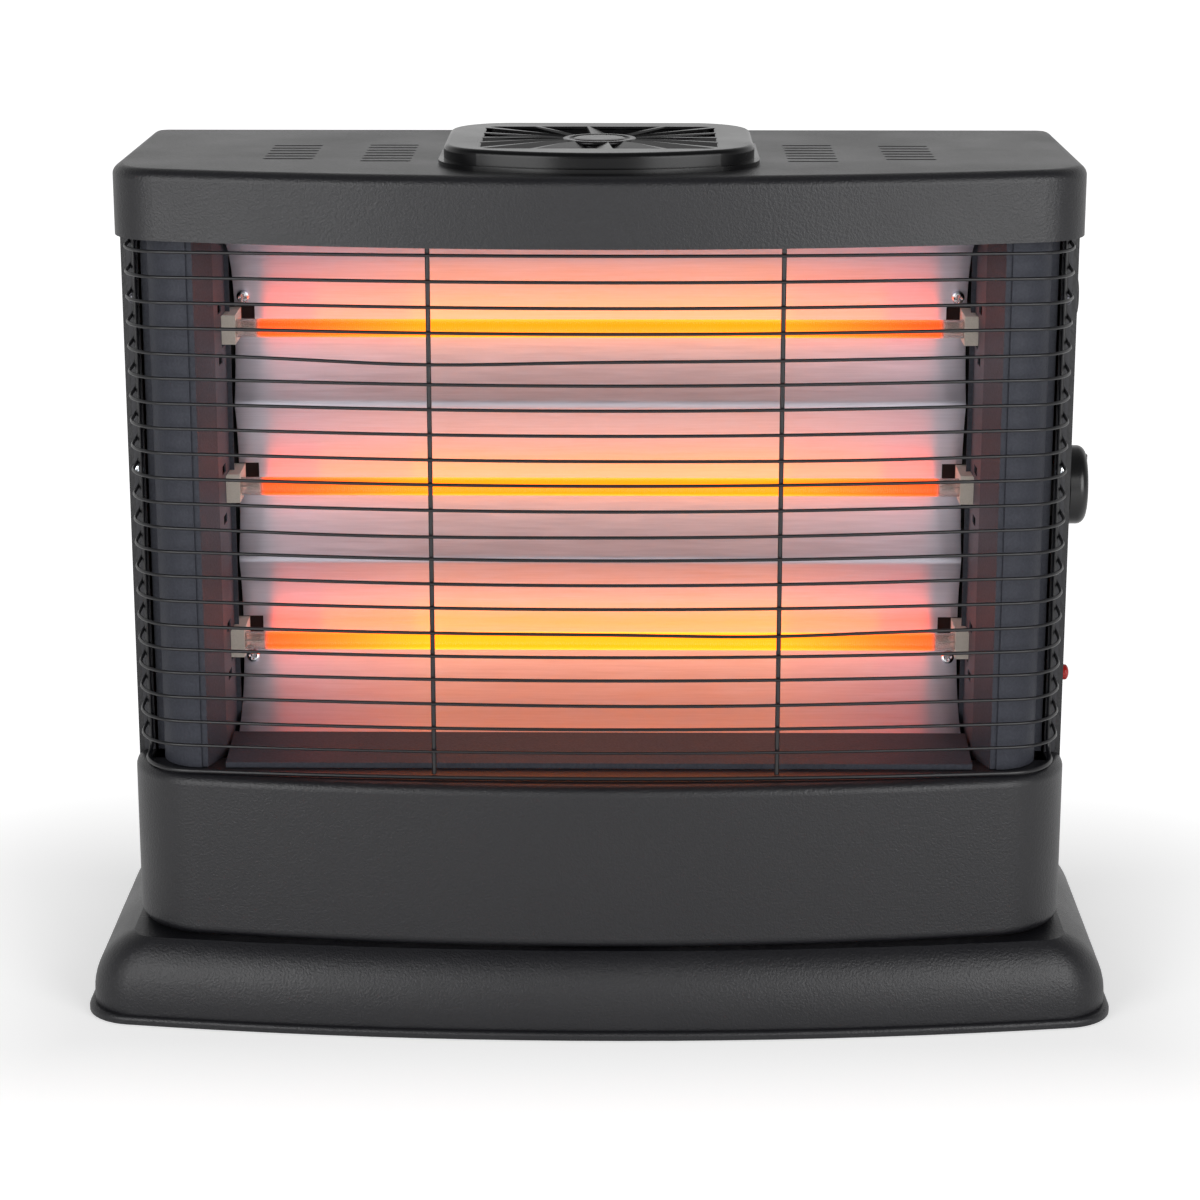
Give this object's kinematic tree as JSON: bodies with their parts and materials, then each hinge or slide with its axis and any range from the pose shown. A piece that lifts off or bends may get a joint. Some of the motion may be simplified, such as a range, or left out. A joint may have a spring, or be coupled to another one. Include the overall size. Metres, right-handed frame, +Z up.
{
  "type": "quartz heater",
  "caption": "Free-standing electric quartz heater with horizontal tubes before a rolled reflector, a bowed wire guard, a vented hood, a side selector knob and a flared base.",
  "frame": {"origin": "bottom centre of the part's box, on the floor between the feet", "axes": "+X across to the part's right as seen from the front, +Y from the front to the back, +Z up"},
  "size_m": [0.589, 0.2559, 0.4967],
  "materials": {
    "powder_coat": "fine textured satin powder coat",
    "strip_enamel": "satin enamel",
    "column_enamel": "satin enamel on rolled sheet",
    "bright_aluminium": "bright rolled reflector sheet",
    "bracket_coat": "matt black heat-proof paint",
    "quartz_glass": "fused quartz tube",
    "hot_coil": "resistance wire, hot",
    "ceramic": "cream unglazed ceramic",
    "guard_wire": "satin black enamelled wire",
    "vent_plastic": "gloss moulded",
    "knob_plastic": "gloss moulded",
    "handle_plastic": "matt moulded",
    "inner_plastic": "matt moulded",
    "plunger_plastic": "natural moulded",
    "red_lens": "clear red moulded",
    "turned_steel": "turned",
    "black_screw": "blackened",
    "zinc_screw": "bright zinc plated",
    "rubber": "moulded",
    "lead_sleeve": "woven glass sleeve"
  },
  "bodies": {
    "heater": {"base_tray": "powder_coat", "floor_plate": "powder_coat", "side_panel_left": "powder_coat", "side_panel_right": "powder_coat", "back_panel": "powder_coat", "hood": "powder_coat", "fascia": "powder_coat", "sill": "powder_coat", "guard_strip_left": "strip_enamel", "guard_strip_right": "strip_enamel", "column_left": "column_enamel", "column_right": "column_enamel", "reflector": "bright_aluminium", "reflector_bracket_left": "bracket_coat", "reflector_bracket_right": "bracket_coat", "quartz_tube_bottom": "quartz_glass", "heating_coil_bottom": "hot_coil", "ceramic_cap_bottom_left": "ceramic", "ceramic_cap_bottom_right": "ceramic", "quartz_tube_middle": "quartz_glass", "heating_coil_middle": "hot_coil", "ceramic_cap_middle_left": "ceramic", "ceramic_cap_middle_right": "ceramic", "quartz_tube_top": "quartz_glass", "heating_coil_top": "hot_coil", "ceramic_cap_top_left": "ceramic", "ceramic_cap_top_right": "ceramic", "guard_rows": "guard_wire", "guard_frame": "guard_wire", "guard_uprights": "guard_wire", "vent_grille": "vent_plastic", "selector_switch": "inner_plastic", "pilot_lens": "red_lens", "pilot_bezel": "knob_plastic", "pilot_lamp_body": "inner_plastic", "carry_handle_left": "handle_plastic", "carry_handle_right": "handle_plastic", "flange_screws": "black_screw", "strip_screws": "zinc_screw", "back_screws": "black_screw", "reflector_screws": "zinc_screw", "tip_switch": "inner_plastic", "terminal_block": "inner_plastic", "cord_bush": "rubber", "rubber_feet": "rubber", "common_leads": "lead_sleeve", "switch_leads": "lead_sleeve", "supply_lead": "lead_sleeve"},
    "selector": {"selector_knob": "knob_plastic", "selector_shaft": "turned_steel"},
    "plunger": {"tip_plunger": "plunger_plastic"}
  },
  "joints": [
    {"name": "selector_turn", "type": "hinge", "parent": "heater", "child": "selector", "pos_m": [0.2715, -0.018, 0.298], "axis": [1, 0, 0], "range_deg": [0, 270]},
    {"name": "tip_plunger_slide", "type": "slide", "parent": "heater", "child": "plunger", "axis": [0, 0, -1], "range_m": [0, 0.006]}
  ]
}
